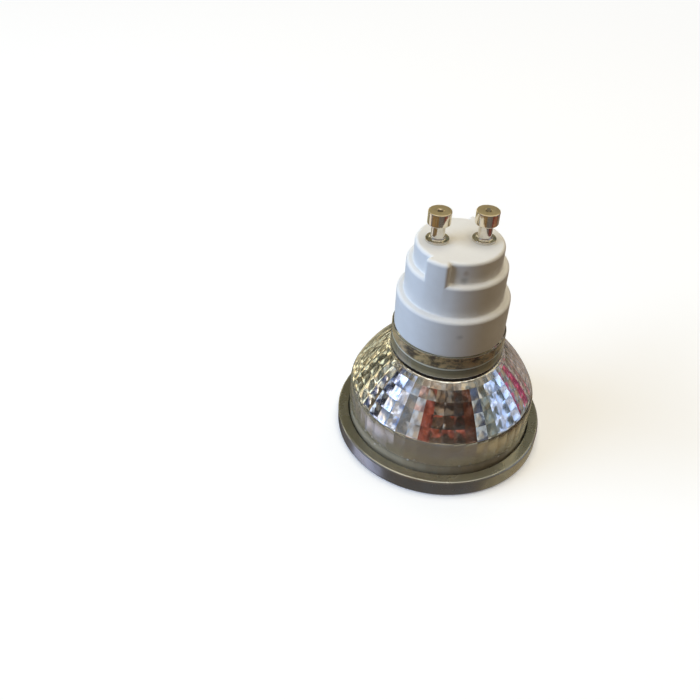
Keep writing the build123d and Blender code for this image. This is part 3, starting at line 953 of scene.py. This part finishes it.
# Soft panels of the room that only glass, mirror and metal show: azimuth, elevation, half width, half
# height and softness in degrees, and colour
ROOM_PANELS = (
    ("wall behind", 108, -14, 26, 18, 12, (0.36, 0.335, 0.225)),
    ("upper wall behind", 80, 40, 60, 14, 10, (0.19, 0.172, 0.105)),
    ("shade behind", 77, -50, 40, 12, 6, (0.03, 0.03, 0.03)),
    ("pale cloth", 176, -44, 18, 8, 4, (0.72, 0.74, 1.02)),
    ("brown table", 222, -28, 32, 5, 3, (0.22, 0.15, 0.075)),
    ("red table", 338, -28, 26, 5, 3, (0.17, 0.05, 0.04)),
    ("paper", 162, -28, 10, 5, 2, (1.0, 0.96, 0.9)),
    ("left wall", 140, 6, 12, 12, 6, (0.24, 0.23, 0.16)),
    ("left corner", 156, 9, 5, 11, 3, (0.42, 0.41, 0.33)),
    ("sunlit shelf", 166, -2, 14, 7, 4, (0.46, 0.43, 0.33)),
    ("left floor", 203, 6, 16, 8, 4, (0.3, 0.33, 0.4)),
    ("front wall", 262, 9, 42, 9, 4, (0.26, 0.235, 0.21)),
    ("front ceiling", 262, 44, 34, 6, 2, (0.27, 0.225, 0.185)),
    ("right floor", 14, -46, 44, 11, 8, (0.42, 0.36, 0.24)),
    ("upper wall right", 30, 44, 18, 12, 6, (0.75, 0.68, 0.48)),
    ("window frame", 175, 21, 6, 6, 2, (0.16, 0.19, 0.3)),
    ("window foot", 176, 15, 7, 3, 1, (0.03, 0.035, 0.06)),
    ("blind", 188, 25, 5, 6, 2, (0.2, 0.26, 0.45)),
    ("blind foot", 188, 17, 5, 3, 1, (0.6, 0.66, 0.8)),
    ("left window", 200, 26, 7, 9, 2, (0.36, 0.44, 0.66)),
    ("left pane", 200, 25, 6, 3, 1, (0.65, 0.74, 0.98)),
    ("left sill", 200, 18, 6, 2, 1, (0.2, 0.28, 0.55)),
    ("grey curtain", 215, 29, 7, 10, 3, (0.3, 0.32, 0.36)),
    ("pink curtain", 231, 34, 5, 6, 2, (0.36, 0.25, 0.24)),
    ("grey hem", 231, 25, 5, 3, 1, (0.26, 0.27, 0.3)),
    ("dark doorway", 275, 30, 30, 8, 2, (0.05, 0.035, 0.028)),
    ("door lintel", 268, 35, 16, 1.5, 1, (0.24, 0.19, 0.15)),
    ("red drape", 244, 29, 6, 7, 2, (0.17, 0.05, 0.038)),
    ("red hem", 265, 22, 26, 1.5, 1, (0.2, 0.06, 0.045)),
    ("brown drape", 302, 27, 7, 7, 3, (0.08, 0.035, 0.025)),
    ("blue door", 316, 27, 5, 5, 2, (0.09, 0.1, 0.14)),
    ("pale door foot", 316, 19, 5, 2, 1, (0.4, 0.45, 0.5)),
    ("green door", 328, 20, 6, 8, 3, (0.17, 0.19, 0.18)),
    ("right window", 352, 9, 14, 9, 4, (0.46, 0.56, 0.82)),
    ("right frame", 348, 13, 6, 3, 1, (0.14, 0.17, 0.2)),
    ("crimson cloth", 24, -6, 9, 6, 2, (0.32, 0.06, 0.13)),
    ("mauve cloth", 46, -17, 16, 11, 6, (0.3, 0.25, 0.22)),
)
PANEL_ANGLES = ("Azimuth", "Elevation", "Half Width", "Half Height", "Softness")

# Room behind the panels: its tones, and the heights of a ray, as a sine, where one gives way to the next
ROOM_LOW = (0.155, 0.143, 0.143)
ROOM_HIGH = (0.3, 0.285, 0.24)
ROOM_RISE = (-0.3, 0.6)
CEILING = (1.2, 1.14, 0.98)
CEILING_EDGE = (0.82, 0.9)

# How far the panels' edges waver, and the size of the waves
WAVER = 0.45
WAVER_SCALE = 8.0
WAVER_DETAIL = 3.0

# Clutter: scale and contrast of its cells, their tints, the side with most of it, and its share elsewhere,
# which grows with height
CLUTTER = ((12.0, 1.0), (29.0, 0.5))
WARM = (1.14, 1.0, 0.84)
COOL = (0.88, 1.0, 1.16)
BUSY_SIDE = (142, 4, 42, 20, 12)
CALM_HEIGHTS = (-0.6, -0.3)
CALM_SHARES = (0.15, 0.7)

# Dim light that matt surfaces get from all round, which turns from left to right
AMBIENT_LEFT = (0.07, 0.06, 0.045)
AMBIENT_RIGHT = (0.15, 0.108, 0.066)
AMBIENT_TURN = (-0.8, 0.3)

# Soft lights: azimuth and elevation in degrees, distance and size in metres, power in watts, and colour
LIGHTS = (
    ("window_key", 186, 20, 2.4, 1.9, 68.0, (0.5, 0.67, 0.97)),
    ("ceiling", 60, 84, 2.4, 1.8, 42.0, (1.0, 0.94, 0.78)),
)

# Camera that was fitted to the photograph, with its lens and sensor in millimetres
CAMERA_PLACE = (-30.135 * MM, -129.498 * MM, 131.887 * MM)
CAMERA_TURN = (0.874, -0.021, -0.039)
CAMERA_CLIP = 10 * MM
CAMERA_LENS = 36.595
SENSOR_WIDTH = 36.0

# Most times that light is mirrored on its way into the bowl and out again
GLOSSY_BOUNCES = 12


def panel_group():
    """Mask of a soft-edged panel of the room, in the direction of a ray."""
    tree, given, result = new_group(
        "room_panel",
        (("Direction", "NodeSocketVector", None), ("Azimuth", "NodeSocketFloat", 0.0),
         ("Elevation", "NodeSocketFloat", 0.0), ("Half Width", "NodeSocketFloat", 0.1),
         ("Half Height", "NodeSocketFloat", 0.1), ("Softness", "NodeSocketFloat", 0.05)),
        (("Mask", "NodeSocketFloat"),),
    )
    back = maths(tree, "MULTIPLY", given["Azimuth"], -1.0)
    turned = add_node(tree, "ShaderNodeVectorRotate", {"Vector": given["Direction"], "Angle": back},
                      rotation_type="Z_AXIS")
    parts = split(tree, turned.outputs["Vector"])
    side = maths(tree, "ARCTAN2", parts["Y"], parts["X"])
    above = maths(tree, "SUBTRACT", maths(tree, "ARCSINE", parts["Z"]), given["Elevation"])
    masks = []
    for angle, half in ((side, "Half Width"), (above, "Half Height")):
        outer = maths(tree, "ADD", given[half], given["Softness"])
        masks.append(fade(tree, maths(tree, "ABSOLUTE", angle), outer, given[half], "SMOOTHSTEP"))
    fill_sockets(result, {"Mask": maths(tree, "MULTIPLY", *masks)})
    return tree


def place_panel(tree, group, direction, angles):
    """A panel of the room, whose angles are given in degrees."""
    inputs = {socket: math.radians(angle) for socket, angle in zip(PANEL_ANGLES, angles)}
    return place_group(tree, group, {"Direction": direction, **inputs})


def hang_panels(tree, group, direction, room):
    """Lays the panels over the room one after another, with wavering edges."""
    shifted = jitter(tree, direction, WAVER_SCALE, WAVER_DETAIL, WAVER)
    wavering = vector_maths(tree, "NORMALIZE", shifted)
    for name, *angles, colour in ROOM_PANELS:
        panel = place_panel(tree, group, wavering, angles)
        panel.label = name
        room = two_tones(tree, panel.outputs["Mask"], room, colour)
    return room


def add_clutter(tree, group, direction, height, room):
    """Breaks the room up into lighter and darker cells, most of all on its busy side."""
    busy = place_panel(tree, group, direction, BUSY_SIDE).outputs["Mask"]
    calm = between(tree, fade(tree, height, *CALM_HEIGHTS), *CALM_SHARES)
    strength = maths(tree, "ADD", busy, calm)
    for scale, contrast in CLUTTER:
        draw = cells(tree, direction, scale)[1]
        level = between(tree, draw["Red"], -contrast, contrast)
        bright = maths(tree, "EXPONENT", maths(tree, "MULTIPLY", level, strength))
        tint = two_tones(tree, draw["Green"], WARM, COOL)
        room = vector_maths(tree, "MULTIPLY", room, vector_maths(tree, "MULTIPLY", tint, bright))
    return room


def light_room():
    """Room that the mirror and the metal reflect, a dim ambient for the rest, and a pale backdrop."""
    world = bpy.data.worlds.new("soft_room")
    bpy.context.scene.world = world
    world.use_nodes = True
    tree = world.node_tree
    direction = tree.nodes.new("ShaderNodeTexCoord").outputs["Generated"]
    rays = tree.nodes.new("ShaderNodeLightPath").outputs
    parts = split(tree, direction)
    room = two_tones(tree, fade(tree, parts["Z"], *ROOM_RISE), ROOM_LOW, ROOM_HIGH)
    room = two_tones(tree, fade(tree, parts["Z"], *CEILING_EDGE), room, CEILING)
    group = panel_group()
    room = hang_panels(tree, group, direction, room)
    room = add_clutter(tree, group, direction, parts["Z"], room)
    ambient = two_tones(tree, fade(tree, parts["X"], *AMBIENT_TURN), AMBIENT_LEFT, AMBIENT_RIGHT)
    mirrored = maths(tree, "MAXIMUM", rays["Is Glossy Ray"], rays["Is Transmission Ray"])
    seen = two_tones(tree, mirrored, ambient, room)
    shown = two_tones(tree, rays["Is Camera Ray"], seen, PALE)
    fill_sockets(tree.nodes["Background"], {"Color": shown})


def add_light(name, azimuth, elevation, distance, size, power, colour):
    """Soft square light that looks at the lamp's middle."""
    target = Vector((0, 0, (cad_box[0].z + cad_box[1].z) / 2))
    flat = math.cos(math.radians(elevation))
    away = Vector((
        flat * math.cos(math.radians(azimuth)),
        flat * math.sin(math.radians(azimuth)),
        math.sin(math.radians(elevation)),
    ))
    bpy.ops.object.light_add(type="AREA", location=target + away * distance)
    light = bpy.context.object
    light.name = name
    light.rotation_euler = away.to_track_quat("Z", "Y").to_euler()
    light.data.size = size
    light.data.energy = power
    light.data.color = colour
    light.visible_camera = False
    light.visible_transmission = False
    light.visible_glossy = False


def lay_floor():
    """Pale floor that the camera sees and shadows fall on."""
    bpy.ops.object.select_all(action="DESELECT")
    bpy.ops.mesh.primitive_plane_add(size=FLOOR_SIZE, location=(0, 0, cad_box[0].z - FLOOR_DROP))
    floor = bpy.context.object
    floor.name = "pale_floor"
    material, tree, shader, place = new_material("pale_paper")
    away = fade(tree, vector_maths(tree, "LENGTH", place), *FLOOR_FADE, "SMOOTHSTEP")
    fill_sockets(shader, {
        "Base Color": two_tones(tree, away, FLOOR_PAPER, BLACK),
        "Emission Color": two_tones(tree, away, FLOOR_GLOW, PALE),
        "Emission Strength": 1.0,
        "Roughness": 0.9,
        "Specular IOR Level": 0.0,
    })
    floor.data.materials.append(material)
    floor.visible_glossy = False
    floor.visible_transmission = False
    floor.visible_diffuse = False


def set_camera():
    """Camera that was fitted to the photograph."""
    camera = bpy.data.objects.new("photo_camera", bpy.data.cameras.new("photo_camera"))
    bpy.context.scene.collection.objects.link(camera)
    camera.location = CAMERA_PLACE
    camera.rotation_euler = CAMERA_TURN
    camera.data.lens = CAMERA_LENS
    camera.data.sensor_width = SENSOR_WIDTH
    camera.data.clip_start = CAMERA_CLIP
    bpy.context.scene.camera = camera


put_in_place(model_ring(), "trim_ring", "ring_metal", ring_finish())
put_in_place(model_lens(), "front_lens", "lens_glass", clear_glass("polished_lens", (0.95, 0.97, 0.95), 1.5))
bowl = model_bowl(clear_glass("bowl_glass", (0.96, 0.95, 0.9), 1.5), mirror_finish())
put_in_place(bowl, "reflector", "mirrored_glass")
put_in_place(model_cap(), "ceramic_cap", "cap_ceramic", ceramic_finish())
for pin, node, side in zip(model_pins(), ("contact_pin_left", "contact_pin_right"), (-1, 1)):
    put_in_place(pin, node, "pin_metal", pin_finish(pin.name + "_nickel", side * pin_offset))
finish_nodes()

light_room()
for light in LIGHTS:
    add_light(*light)
lay_floor()
set_camera()
bpy.context.scene.view_settings.view_transform = "Standard"
bpy.context.scene.cycles.glossy_bounces = GLOSSY_BOUNCES
